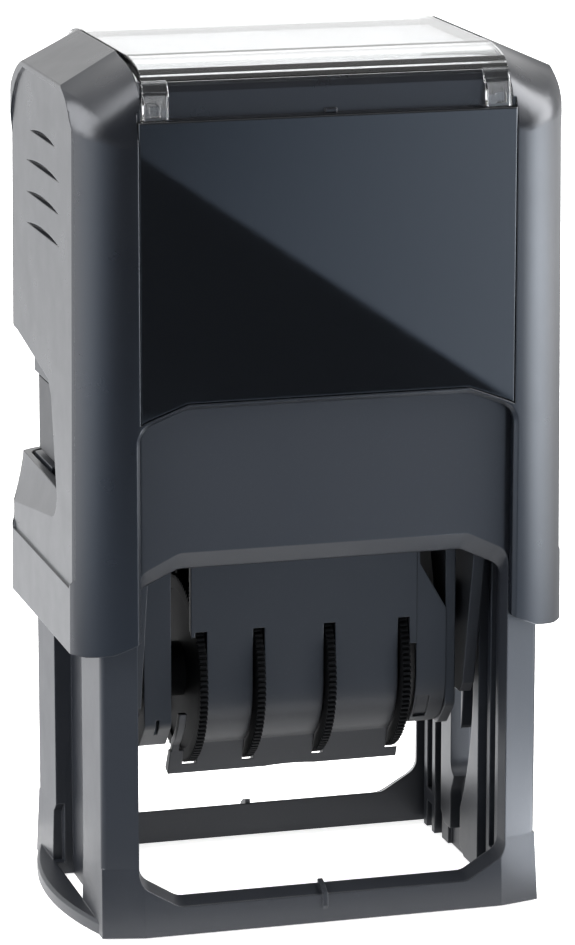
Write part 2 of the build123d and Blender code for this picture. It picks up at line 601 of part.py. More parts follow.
# the wing's upper corner is cut off at a slant, its lower one rounded
wing -= prism_y([(13.9, 39.4), (17.6, 32.9), (17.6, 45.0), (13.9, 45.0)], -14, 0)
wing = soften(wing, [e for e in wing.edges() if (e @ 0.5).X > 17.1 and near(e, lambda p: p.Z < 20.1) and e.length < 1.2], 1.2, "wing corner")
front += wing
# shallow square on the wing
front -= (cyl_x(9.8, 13.8, 15.3, 0, WHEEL_Z) - cyl_x(8.95, 13.7, 15.4, 0, WHEEL_Z)) & box(13, 16, -12, 0, 20.3, 23.2)
# the middle of the lip's free edge is cut back in a shallow curve
relief = extrude(Plane.XZ.offset(2.0) * (Pos(-0.3, 14.75 - 29.85) * Circle(30.0)), amount=8.0)
front -= relief
front = cut_slots(front)
# the first wheel's slot is open to the left, the last one's to the right
front -= cyl_x(RIM_R + 0.2, -15.0, WHEEL_X[0], 0, WHEEL_Z) & box(-15.0, WHEEL_X[0], -13, 0, 10, 33.1)
front -= cyl_x(RIM_R + 0.2, WHEEL_X[3], COVER_X1, 0, WHEEL_Z) & box(WHEEL_X[3], COVER_X1, -13, 0, 10, 29.9)
front -= box(WHEEL_X[3] + 0.8, 20.0, -8.0, 0, 10, 17.0)
# the lip runs on to the left, with a small upright tab on it
lip_end = extrude(Plane.YZ.offset(-15.0) * cover_face(PY, CT, True), amount=-15.0 * -1 + COVER_X0 + 0.6)
front += (lip_end & box(-16, -12.9, -12, 0, 10, 17.9)) - cyl_x(RIM_R + 0.2, -13.4, -12.0, 0, WHEEL_Z)
tab = extrude(Plane.YZ.offset(-14.8) * cover_face(PY, CT, True), amount=0.85)
front += tab & box(-16, -12.9, -12, 0, 17.0, 23.3)
keep("dater_cover_front", front)

rear = extrude(Plane.YZ.offset(COVER_X0) * cover_face(PY, CT, False), amount=17.15 - COVER_X0)
rear = mirror_y(rear)
rear = cut_slots(rear)
keep("dater_cover_rear", rear)


def cheek(x0, x1, sx):
    pts = [(-8.6, A + 7.55), (-8.6, WHEEL_Z - 4.4), (-5.6, WHEEL_Z - 7.5), (5.6, WHEEL_Z - 7.5), (8.6, WHEEL_Z - 4.4), (8.6, A + 7.55)]
    c = prism_x(pts, x0, x1)
    c = soften(c, [e for e in c.edges().filter_by(Axis.X) if (e @ 0.5).Z < WHEEL_Z], 1.2, "cheek corners")
    c -= cyl_x(SHAFT_R + 0.01, x0 - 1, x1 + 1, 0, WHEEL_Z)
    c += cyl_x(2.5, *sorted((sx * 18.3, sx * 19.85)), 0, A - 4.0)
    return c


# the left cheek is a thicker block with a slit in its lower front
left = cheek(-18.9, -15.7, -1)
left -= box(-17.55, -17.15, -9.0, -7.4, WHEEL_Z - 8.0, WHEEL_Z - 3.6)
keep("cheek_left", left)
keep("cheek_right", cheek(17.2, 18.4, 1))
keep("wheel_shaft", cyl_x(SHAFT_R, -18.35, 18.35, 0, WHEEL_Z))

# setting wheels
def rim_face():
    pts = []
    for i in range(TEETH):
        for f, r in ((0.10, RIM_R), (0.50, RIM_R), (0.66, RIM_R - 0.42), (0.94, RIM_R - 0.42)):
            t = 2 * math.pi * (i + f) / TEETH
            pts.append((r * math.cos(t), r * math.sin(t)))
    return face_of(pts)


RIM_FACE = rim_face()
for i, (name, x) in enumerate(zip(WHEEL_NAMES, WHEEL_X)):
    x_end = (WHEEL_X[i + 1] - RIM_T / 2 - 0.35) if i < 3 else 16.85
    w = extrude(Plane.YZ.offset(x - RIM_T / 2) * RIM_FACE, amount=RIM_T)
    w += extrude(Plane.YZ.offset(x) * Circle(HUB_R), amount=x_end - x)
    w -= extrude(Plane.YZ.offset(x - 5) * Circle(SHAFT_R + 0.05), amount=40)
    if i == 0:                             # sleeve to the left cheek
        w += extrude(Plane.YZ.offset(-15.55) * (Circle(3.2) - Circle(SHAFT_R + 0.05)), amount=15.55 + x)
    # dished outer face
    w -= extrude(Plane.YZ.offset(x - RIM_T / 2 - 0.01) * (Circle(9.4) - Circle(3.2)), amount=0.3)
    keep(f"{name}_wheel", Pos(0, 0, WHEEL_Z) * w)


# date bands: closed rubber loops round the wheel hub and the bridge
def loop_face(r1, z1, r2, z2):
    d = z2 - z1
    s = (r1 - r2) / d
    c = math.sqrt(1 - s * s)
    pr1, pr2 = (r1 * c, z1 + r1 * s), (r2 * c, z2 + r2 * s)
    return make_face([
        Line((pr1[0], pr1[1]), (pr2[0], pr2[1])),
        ThreePointArc((pr2[0], pr2[1]), (0, z2 + r2), (-pr2[0], pr2[1])),
        Line((-pr2[0], pr2[1]), (-pr1[0], pr1[1])),
        ThreePointArc((-pr1[0], pr1[1]), (0, z1 - r1), (pr1[0], pr1[1])),
    ])


BRIDGE_Z, BRIDGE_R = A + 7.7, 1.75
for i, (name, x) in enumerate(zip(WHEEL_NAMES, WHEEL_X)):
    x0 = x + RIM_T / 2 + 0.3
    x1 = (WHEEL_X[i + 1] - RIM_T / 2 - 0.65) if i < 3 else 16.7
    inner = loop_face(HUB_R + 0.15, WHEEL_Z, BRIDGE_R + 0.1, BRIDGE_Z)
    outer = loop_face(HUB_R + 0.15 + BAND_T, WHEEL_Z, BRIDGE_R + 0.1 + BAND_T, BRIDGE_Z)
    b = extrude(Plane.YZ.offset(x0) * (outer - inner), amount=x1 - x0)
    # the character block that prints now
    b += box(x0 + 0.5, x1 - 0.5, -1.5, 1.5, BRIDGE_Z + BRIDGE_R + 0.1 + BAND_T - 0.35, A + FACE_H - 0.45)
    keep(f"{name}_band", b)

bridge = cyl_x(BRIDGE_R, -12.85, 17.15, 0, BRIDGE_Z)
bridge += box(-15.65, 17.15, -1.2, 1.2, BRIDGE_Z - 3.2, A + 7.5)
bridge += box(-12.85, 17.15, -1.2, 1.2, A + 7.4, BRIDGE_Z)
keep("band_bridge", bridge)

print("nodes:", len(made))
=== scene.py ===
import math

import bmesh
import bpy
from mathutils import Matrix, Vector, noise

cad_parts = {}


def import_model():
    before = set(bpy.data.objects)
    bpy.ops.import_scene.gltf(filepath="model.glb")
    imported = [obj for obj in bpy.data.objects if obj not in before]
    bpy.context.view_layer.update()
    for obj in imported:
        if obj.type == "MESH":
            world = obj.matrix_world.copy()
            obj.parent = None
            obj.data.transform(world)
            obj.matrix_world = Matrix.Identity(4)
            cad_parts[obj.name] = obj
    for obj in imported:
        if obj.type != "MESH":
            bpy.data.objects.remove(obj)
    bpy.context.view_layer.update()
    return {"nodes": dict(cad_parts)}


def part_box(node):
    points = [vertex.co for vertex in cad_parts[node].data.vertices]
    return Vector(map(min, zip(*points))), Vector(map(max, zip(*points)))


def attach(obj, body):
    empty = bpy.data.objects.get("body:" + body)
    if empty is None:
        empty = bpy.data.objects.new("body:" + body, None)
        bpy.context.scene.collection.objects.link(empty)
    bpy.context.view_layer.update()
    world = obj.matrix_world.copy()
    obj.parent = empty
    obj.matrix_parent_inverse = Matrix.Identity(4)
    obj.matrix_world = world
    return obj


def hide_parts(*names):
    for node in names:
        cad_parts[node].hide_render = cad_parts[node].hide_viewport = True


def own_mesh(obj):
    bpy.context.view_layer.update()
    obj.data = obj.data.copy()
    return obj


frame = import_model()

NODES = frame["nodes"]
SCENE = bpy.context.scene
MM = 0.001


# ------------------------------------------------------------------ node helpers
def new_material(name):
    m = bpy.data.materials.new(name)
    m.use_nodes = True
    nt = m.node_tree
    nt.nodes.clear()
    out = nt.nodes.new("ShaderNodeOutputMaterial")
    bsdf = nt.nodes.new("ShaderNodeBsdfPrincipled")
    nt.links.new(bsdf.outputs["BSDF"], out.inputs["Surface"])
    return m, nt, bsdf, out


def add(nt, kind, **props):
    n = nt.nodes.new(kind)
    for k, v in props.items():
        setattr(n, k, v)
    return n


def noise_tex(nt, coord, scale, detail=2.0, rough=0.5, stretch=None):
    t = add(nt, "ShaderNodeTexNoise")
    t.inputs["Scale"].default_value = scale
    t.inputs["Detail"].default_value = detail
    t.inputs["Roughness"].default_value = rough
    if stretch:
        mp = add(nt, "ShaderNodeMapping")
        mp.inputs["Scale"].default_value = stretch
        nt.links.new(coord, mp.inputs["Vector"])
        coord = mp.outputs["Vector"]
    nt.links.new(coord, t.inputs["Vector"])
    return t.outputs["Fac"]


def remap(nt, value, a0, a1, b0, b1):
    r = add(nt, "ShaderNodeMapRange")
    r.inputs["From Min"].default_value = a0
    r.inputs["From Max"].default_value = a1
    r.inputs["To Min"].default_value = b0
    r.inputs["To Max"].default_value = b1
    nt.links.new(value, r.inputs["Value"])
    return r.outputs["Result"]


def math_node(nt, op, a, b=None):
    n = add(nt, "ShaderNodeMath", operation=op)
    for i, x in enumerate((a, b)):
        if x is None:
            continue
        if isinstance(x, (int, float)):
            n.inputs[i].default_value = x
        else:
            nt.links.new(x, n.inputs[i])
    return n.outputs["Value"]


def mix_colour(nt, fac, a, b):
    n = add(nt, "ShaderNodeMix", data_type="RGBA")
    nt.links.new(fac, n.inputs["Factor"])
    for key, x in (("A", a), ("B", b)):
        sock = [s for s in n.inputs if s.name == key and s.type == "RGBA"][0]
        if isinstance(x, (tuple, list)):
            sock.default_value = (*x, 1.0) if len(x) == 3 else x
        else:
            nt.links.new(x, sock)
    return [s for s in n.outputs if s.type == "RGBA"][0]


def object_coord(nt):
    return add(nt, "ShaderNodeTexCoord").outputs["Object"]


def bump(nt, height, strength, distance, normal=None):
    b = add(nt, "ShaderNodeBump")
    b.inputs["Strength"].default_value = strength
    b.inputs["Distance"].default_value = distance
    nt.links.new(height, b.inputs["Height"])
    if normal is not None:
        nt.links.new(normal, b.inputs["Normal"])
    return b.outputs["Normal"]


def soft_edge(nt, radius):
    """Rounded-edge normal, and a mask that is 1 along the edges."""
    bev = add(nt, "ShaderNodeBevel", samples=6)
    bev.inputs["Radius"].default_value = radius
    geo = add(nt, "ShaderNodeNewGeometry")
    dot = add(nt, "ShaderNodeVectorMath", operation="DOT_PRODUCT")
    nt.links.new(bev.outputs["Normal"], dot.inputs[0])
    nt.links.new(geo.outputs["Normal"], dot.inputs[1])
    edge = remap(nt, dot.outputs["Value"], 0.985, 0.75, 0.0, 1.0)
    return bev.outputs["Normal"], edge


def plastic(name, colour, rough, grain=0.12, grain_size=0.16, edge_highlight=1.5, radius=0.22, flow=0.06, specular=0.5, rough_span=0.05, tint=(0.93, 0.95, 1.0)):
    """Moulded plastic: spark-eroded grain, slight flow mottling, and edges painted lighter in patches as a painted
    highlight.
    """
    m, nt, bsdf, out = new_material(name)
    co = object_coord(nt)
    normal, edge = soft_edge(nt, radius * MM)
    mott = noise_tex(nt, co, 55.0, 4.0, 0.55, (1.0, 1.0, 0.45))
    speck = noise_tex(nt, co, 2600.0, 2.0, 0.6)
    lo = tuple(c * (1 - flow) for c in colour)
    hi = tuple(c * (1 + flow) for c in colour)
    base = mix_colour(nt, remap(nt, mott, 0.3, 0.7, 0.0, 1.0), lo, hi)
    base = mix_colour(nt, remap(nt, speck, 0.62, 0.8, 0.0, 0.35), base, tuple(min(1.0, c * 1.7 + 0.01) for c in colour))
    # painted highlight: the edges are painted lighter in patches, standing in for edge sheen
    edge_highlight_mask = math_node(nt, "MULTIPLY", edge, remap(nt, noise_tex(nt, co, 420.0, 3.0, 0.6), 0.35, 0.7, 0.15, 0.8))
    base = mix_colour(nt, edge_highlight_mask, base, tuple(min(1.0, c * edge_highlight + 0.006) for c in colour))
    nt.links.new(base, bsdf.inputs["Base Color"])
    r = remap(nt, noise_tex(nt, co, 210.0, 3.0, 0.6), 0.25, 0.75, rough - rough_span / 2, rough + rough_span / 2)
    r = math_node(nt, "SUBTRACT", r, math_node(nt, "MULTIPLY", edge_highlight_mask, 0.06))
    nt.links.new(r, bsdf.inputs["Roughness"])
    g = noise_tex(nt, co, 1000.0 / grain_size, 2.0, 0.65)
    nt.links.new(bump(nt, g, grain, 0.02 * MM, normal), bsdf.inputs["Normal"])
    bsdf.inputs["IOR"].default_value = 1.5
    bsdf.inputs["Specular IOR Level"].default_value = specular
    bsdf.inputs["Specular Tint"].default_value = (*tint, 1.0)
    return m


def gloss(name, colour, rough=0.03):
    """Polished black panel: faint moulding waves, dust-fine haze and hairline scuffs."""
    m, nt, bsdf, out = new_material(name)
    co = object_coord(nt)
    normal, edge = soft_edge(nt, 0.2 * MM)
    wave = noise_tex(nt, co, 38.0, 2.0, 0.4)
    hair = noise_tex(nt, co, 900.0, 3.0, 0.6, (1.0, 1.0, 0.05))
    base = mix_colour(nt, remap(nt, wave, 0.3, 0.7, 0.0, 1.0), tuple(c * 0.9 for c in colour), tuple(c * 1.1 for c in colour))
    # painted highlight: the panel's edges are painted lighter
    base = mix_colour(nt, math_node(nt, "MULTIPLY", edge, 0.5), base, tuple(c * 2.0 + 0.01 for c in colour))
    nt.links.new(base, bsdf.inputs["Base Color"])
    haze = remap(nt, noise_tex(nt, co, 160.0, 4.0, 0.6), 0.3, 0.75, rough * 0.8, rough * 1.5)
    haze = math_node(nt, "ADD", haze, remap(nt, hair, 0.66, 0.8, 0.0, 0.04))
    nt.links.new(haze, bsdf.inputs["Roughness"])
    nt.links.new(bump(nt, wave, 0.02, 0.05 * MM, normal), bsdf.inputs["Normal"])
    bsdf.inputs["IOR"].default_value = 1.5
    bsdf.inputs["Specular Tint"].default_value = (0.92, 0.95, 1.0, 1.0)
    return m


def clear(name):
    """Clear acrylic: faint tint, fine polishing haze, slight wave."""
    m, nt, bsdf, out = new_material(name)
    co = object_coord(nt)
    normal, edge = soft_edge(nt, 0.15 * MM)
    bsdf.inputs["Transmission Weight"].default_value = 1.0
    bsdf.inputs["IOR"].default_value = 1.49
    tint = mix_colour(nt, remap(nt, noise_tex(nt, co, 80.0, 2.0, 0.5), 0.3, 0.7, 0.0, 1.0), (0.93, 0.945, 0.955), (0.95, 0.96, 0.97))
    nt.links.new(tint, bsdf.inputs["Base Color"])
    haze = remap(nt, noise_tex(nt, co, 300.0, 4.0, 0.6), 0.35, 0.8, 0.01, 0.05)
    nt.links.new(haze, bsdf.inputs["Roughness"])
    nt.links.new(bump(nt, noise_tex(nt, co, 45.0, 2.0, 0.4), 0.03, 0.05 * MM, normal), bsdf.inputs["Normal"])
    return m


def paper(name):
    m, nt, bsdf, out = new_material(name)
    co = object_coord(nt)
    fibre = noise_tex(nt, co, 1400.0, 5.0, 0.7, (1.0, 0.25, 1.0))
    cloud = noise_tex(nt, co, 120.0, 3.0, 0.6)
    base = mix_colour(nt, remap(nt, fibre, 0.3, 0.7, 0.0, 1.0), (0.58, 0.585, 0.59), (0.66, 0.662, 0.665))
    base = mix_colour(nt, remap(nt, cloud, 0.3, 0.7, 0.0, 0.4), base, (0.64, 0.64, 0.635))
    nt.links.new(base, bsdf.inputs["Base Color"])
    nt.links.new(remap(nt, cloud, 0.3, 0.7, 0.62, 0.8), bsdf.inputs["Roughness"])
    nt.links.new(bump(nt, fibre, 0.25, 0.02 * MM), bsdf.inputs["Normal"])
    return m


def rubber(name, colour, rough=0.75):
    m, nt, bsdf, out = new_material(name)
    co = object_coord(nt)
    normal, edge = soft_edge(nt, 0.12 * MM)
    cloud = noise_tex(nt, co, 240.0, 4.0, 0.6)
    dust = noise_tex(nt, co, 3200.0, 2.0, 0.6)
    base = mix_colour(nt, remap(nt, cloud, 0.3, 0.7, 0.0, 1.0), tuple(c * 0.85 for c in colour), tuple(c * 1.15 for c in colour))
    base = mix_colour(nt, remap(nt, dust, 0.6, 0.8, 0.0, 0.5), base, tuple(c * 1.8 + 0.02 for c in colour))
    # painted highlight: the edges are painted lighter
    base = mix_colour(nt, math_node(nt, "MULTIPLY", edge, 0.4), base, tuple(c * 1.5 + 0.01 for c in colour))
    nt.links.new(base, bsdf.inputs["Base Color"])
    nt.links.new(remap(nt, cloud, 0.3, 0.7, rough - 0.1, rough + 0.1), bsdf.inputs["Roughness"])
    nt.links.new(bump(nt, dust, 0.3, 0.02 * MM, normal), bsdf.inputs["Normal"])
    bsdf.inputs["Specular IOR Level"].default_value = 0.35
    return m


def felt(name):
    m, nt, bsdf, out = new_material(name)
    co = object_coord(nt)
    fibre = noise_tex(nt, co, 1500.0, 6.0, 0.75, (1.0, 0.4, 1.0))
    fibre2 = noise_tex(nt, co, 1700.0, 6.0, 0.75, (0.35, 1.0, 1.0))
    soak = noise_tex(nt, co, 90.0, 4.0, 0.6)
    both = math_node(nt, "MAXIMUM", fibre, fibre2)
    base = mix_colour(nt, remap(nt, both, 0.4, 0.75, 0.0, 1.0), (0.006, 0.007, 0.016), (0.03, 0.034, 0.07))
    base = mix_colour(nt, remap(nt, soak, 0.35, 0.7, 0.0, 0.7), base, (0.008, 0.009, 0.024))
    nt.links.new(base, bsdf.inputs["Base Color"])
    nt.links.new(remap(nt, soak, 0.3, 0.7, 0.7, 0.95), bsdf.inputs["Roughness"])
    nt.links.new(bump(nt, both, 0.9, 0.15 * MM), bsdf.inputs["Normal"])
    bsdf.inputs["Sheen Weight"].default_value = 0.35
    bsdf.inputs["Sheen Roughness"].default_value = 0.5
    return m


def foam(name):
    m, nt, bsdf, out = new_material(name)
    co = object_coord(nt)
    cell = add(nt, "ShaderNodeTexVoronoi")
    cell.inputs["Scale"].default_value = 3200.0
    nt.links.new(co, cell.inputs["Vector"])
    d = cell.outputs["Distance"]
    base = mix_colour(nt, remap(nt, d, 0.1, 0.6, 0.0, 1.0), (0.05, 0.05, 0.055), (0.2, 0.2, 0.21))
    nt.links.new(base, bsdf.inputs["Base Color"])
    nt.links.new(remap(nt, d, 0.0, 0.7, 0.95, 0.75), bsdf.inputs["Roughness"])
    nt.links.new(bump(nt, d, 0.8, 0.1 * MM), bsdf.inputs["Normal"])
    return m


def steel(name, stretch, colour=(0.58, 0.59, 0.61), rough=0.28):
    m, nt, bsdf, out = new_material(name)
    co = object_coord(nt)
    draw = noise_tex(nt, co, 900.0, 4.0, 0.65, stretch)
    stain = noise_tex(nt, co, 130.0, 3.0, 0.6)
    base = mix_colour(nt, remap(nt, draw, 0.3, 0.7, 0.0, 1.0), tuple(c * 0.8 for c in colour), tuple(min(1, c * 1.15) for c in colour))
    base = mix_colour(nt, remap(nt, stain, 0.45, 0.75, 0.0, 0.4), base, (0.36, 0.35, 0.34))
    nt.links.new(base, bsdf.inputs["Base Color"])
    bsdf.inputs["Metallic"].default_value = 1.0
    nt.links.new(remap(nt, draw, 0.25, 0.75, rough - 0.1, rough + 0.12), bsdf.inputs["Roughness"])
    nt.links.new(bump(nt, draw, 0.15, 0.01 * MM), bsdf.inputs["Normal"])
    return m


# ------------------------------------------------------------------ materials
CAP = plastic("cap_anthracite", (0.0026, 0.0034, 0.0054), 0.29, grain=0.10, grain_size=0.14)
BASE = plastic("base_anthracite", (0.0080, 0.0093, 0.0124), 0.40, grain=0.20, grain_size=0.18)
UNIT = plastic("unit_black", (0.0080, 0.0087, 0.0106), 0.38, grain=0.12, grain_size=0.15)
# the wheel's edges are painted three times lighter: painted glints on the knurl teeth
WHEEL = plastic("wheel_black", (0.0030, 0.0032, 0.0036), 0.58, grain=0.10, grain_size=0.12, radius=0.10, specular=0.06, edge_highlight=3.0)
TRAY = plastic("tray_black", (0.010, 0.0105, 0.0115), 0.5, grain=0.2, grain_size=0.2)
GLOSS = gloss("panel_gloss_black", (0.0030, 0.0034, 0.0042), 0.02)
CLEAR = clear("window_clear")
CARD = paper("index_paper")
DIE = rubber("die_rubber", (0.075, 0.07, 0.07))
BAND = rubber("band_rubber", (0.035, 0.035, 0.036))
FELT = felt("ink_felt")
FOAM = foam("cushion_foam")
ROD = steel("rod_steel", (0.03, 1.0, 1.0))
WIRE = steel("wire_steel", (1.0, 1.0, 1.0), (0.5, 0.5, 0.52), 0.3)


def paint(node, material):
    o = NODES[node]
    o.data.materials.clear()
    o.data.materials.append(material)


for node, material in {
    "base_frame": BASE, "ink_tray": TRAY, "ink_pad_felt": FELT, "return_spring": WIRE,
    "cap_housing": CAP, "front_panel": GLOSS, "rear_panel": GLOSS, "index_window": CLEAR, "index_card": CARD,
    "turning_frame": UNIT, "die_cushion": FOAM, "text_plate": DIE, "dater_cover_front": UNIT, "dater_cover_rear": UNIT,
    "cheek_left": UNIT, "cheek_right": UNIT, "wheel_shaft": ROD, "band_bridge": UNIT,
    "day_tens_band": BAND, "day_units_band": BAND, "month_band": BAND, "year_band": BAND,
    "day_tens_wheel": WHEEL, "day_units_wheel": WHEEL, "month_wheel": WHEEL, "year_wheel": WHEEL,
}.items():
    paint(node, material)


# ------------------------------------------------------------------ mesh helpers
def mesh_object(name, bm, material, smooth=True):
    me = bpy.data.meshes.new(name)
    bmesh.ops.recalc_face_normals(bm, faces=bm.faces[:])
    bm.to_mesh(me)
    bm.free()
    for p in me.polygons:
        p.use_smooth = smooth
    me.materials.append(material)
    o = bpy.data.objects.new(name, me)
    SCENE.collection.objects.link(o)
    return o


# return spring: open coils between two closed, ground end coils
def make_spring():
    lo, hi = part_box("return_spring")
    wire = 0.45 * MM
    radius = (hi.x - lo.x) / 2 - wire
    z0, z1 = lo.z + wire, hi.z - wire
    turns, closed, steps, ring = 9.0, 1.1, 44, 10
    pitch_closed = 2.04 * wire
    total = int(turns * steps)
    pts = []
    for i in range(total + 1):
        t = i / steps
        lower = min(t, closed) * pitch_closed
        upper = min(turns - t, closed) * pitch_closed
        if t < closed:
            z = z0 + lower
        elif t > turns - closed:
            z = z1 - upper
        else:
            a, b = z0 + closed * pitch_closed, z1 - closed * pitch_closed
            s = (t - closed) / (turns - 2 * closed)
            s = s + 0.02 * math.sin(2 * math.pi * s)
            z = a + (b - a) * s
        ang = 2 * math.pi * t
        pts.append(Vector((radius * math.cos(ang), radius * math.sin(ang), z)))
    bm = bmesh.new()
    rows = []
    for i, p in enumerate(pts):
        d = (pts[min(i + 1, total)] - pts[max(i - 1, 0)]).normalized()
        out = Vector((p.x, p.y, 0)).normalized()
        side = d.cross(out).normalized()
        out = side.cross(d).normalized()
        row = []
        for k in range(ring):
            a = 2 * math.pi * k / ring
            q = p + out * wire * math.cos(a) + side * wire * math.sin(a)
            q.z = min(max(q.z, lo.z), hi.z)
            row.append(bm.verts.new(q))
        rows.append(row)
    for r0, r1 in zip(rows, rows[1:]):
        for k in range(ring):
            bm.faces.new((r0[k], r0[(k + 1) % ring], r1[(k + 1) % ring], r1[k]))
    bm.faces.new(rows[0][::-1])
    bm.faces.new(rows[-1])
    o = mesh_object("return_coil", bm, WIRE)
    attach(o, "base")
    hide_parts("return_spring")
    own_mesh(o)
    return o


make_spring()


# ink pad: felt block with soft edges and a slightly uneven face
def make_felt():
    lo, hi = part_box("ink_pad_felt")
    bm = bmesh.new()
    nx, ny, nz = 56, 36, 10
    inset = 0.05 * MM

    def shape(u, v, w):
        """u, v, w from -1 to 1 on the block's surface."""
        p = Vector(((lo.x + hi.x) / 2 + u * ((hi.x - lo.x) / 2 - inset), (lo.y + hi.y) / 2 + v * ((hi.y - lo.y) / 2 - inset), 0))
        h = hi.z - lo.z
        z = lo.z + (w + 1) / 2 * h
        edge = max(abs(u) ** 14, abs(v) ** 14)
        if w < 0:
            z += edge * (1 - (w + 1)) * 0.7 * MM
        pull = (abs(w) ** 8) * 0.35 * MM if w < 0 else 0.0
        p.x -= math.copysign(pull, u) * (abs(u) ** 10)
        p.y -= math.copysign(pull, v) * (abs(v) ** 10)
        if w < -0.999:
            z += (0.5 + 0.5 * noise.noise(Vector((p.x * 350, p.y * 350, 3.1)))) * 0.22 * MM
        p.z = min(max(z, lo.z), hi.z)
        return p

    grid = {}

    def vert(i, j, k):
        key = (i, j, k)
        if key not in grid:
            grid[key] = bm.verts.new(shape(2 * i / nx - 1, 2 * j / ny - 1, 2 * k / nz - 1))
        return grid[key]

    for i in range(nx):
        for j in range(ny):
            for k in (0, nz):
                bm.faces.new((vert(i, j, k), vert(i + 1, j, k), vert(i + 1, j + 1, k), vert(i, j + 1, k)))
    for k in range(nz):
        for i in range(nx):
            for j in (0, ny):
                bm.faces.new((vert(i, j, k), vert(i + 1, j, k), vert(i + 1, j, k + 1), vert(i, j, k + 1)))
        for j in range(ny):
            for i in (0, nx):
                bm.faces.new((vert(i, j, k), vert(i, j + 1, k), vert(i, j + 1, k + 1), vert(i, j, k + 1)))
    o = mesh_object("ink_pad", bm, FELT)
    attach(o, "base")
    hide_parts("ink_pad_felt")
    return o


make_felt()


# foam layer under the die, open for the date, with bulged edges
def make_foam():
    lo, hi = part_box("die_cushion")
    x0, x1, y0 = -13.0 * MM, 17.5 * MM, 2.9 * MM

    def loop(cx0, cx1, cy0, cy1, n=24):
        pts = []
        for i in range(n):
            pts.append((cx0 + (cx1 - cx0) * i / n, cy0))
        for i in range(n):
            pts.append((cx1, cy0 + (cy1 - cy0) * i / n))
        for i in range(n):
            pts.append((cx1 - (cx1 - cx0) * i / n, cy1))
        for i in range(n):
            pts.append((cx0, cy1 - (cy1 - cy0) * i / n))
        return pts

    bm = bmesh.new()
    levels = 7
    outer, inner = [], []
    for k in range(levels):
        s = k / (levels - 1)
        z = lo.z + (hi.z - lo.z) * s
        tuck = 0.16 * MM * (2 * s - 1) ** 2
        outer.append([bm.verts.new((x, y, z)) for x, y in loop(lo.x + tuck, hi.x - tuck, lo.y + tuck, hi.y - tuck)])
        inner.append([bm.verts.new((x, y, z)) for x, y in loop(x0 - tuck, x1 + tuck, -y0 - tuck, y0 + tuck)])
    n = len(outer[0])
    for stack in (outer, inner):
        for a, b in zip(stack, stack[1:]):
            for i in range(n):
                bm.faces.new((a[i], a[(i + 1) % n], b[(i + 1) % n], b[i]))
    for k in (0, levels - 1):
        for i in range(n):
            bm.faces.new((outer[k][i], outer[k][(i + 1) % n], inner[k][(i + 1) % n], inner[k][i]))
    o = mesh_object("die_foam", bm, FOAM)
    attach(o, "date_unit")
    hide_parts("die_cushion")
    return o


make_foam()


# ------------------------------------------------------------------ floor and light
def floor():
    bm = bmesh.new()
    bmesh.ops.create_grid(bm, x_segments=8, y_segments=8, size=4.0)
    m, nt, bsdf, out = new_material("floor_pale")
    co = object_coord(nt)
    base = mix_colour(nt, noise_tex(nt, co, 3.0, 2.0, 0.5), (0.86, 0.86, 0.86), (0.88, 0.88, 0.88))
    nt.links.new(base, bsdf.inputs["Base Color"])
    bsdf.inputs["Roughness"].default_value = 0.9
    bsdf.inputs["Specular IOR Level"].default_value = 0.1
    bsdf.inputs["Emission Color"].default_value = (1, 1, 1, 1)
    bsdf.inputs["Emission Strength"].default_value = 0.85
    o = mesh_object("floor", bm, m, smooth=False)
    o.location.z = -0.0002


floor()


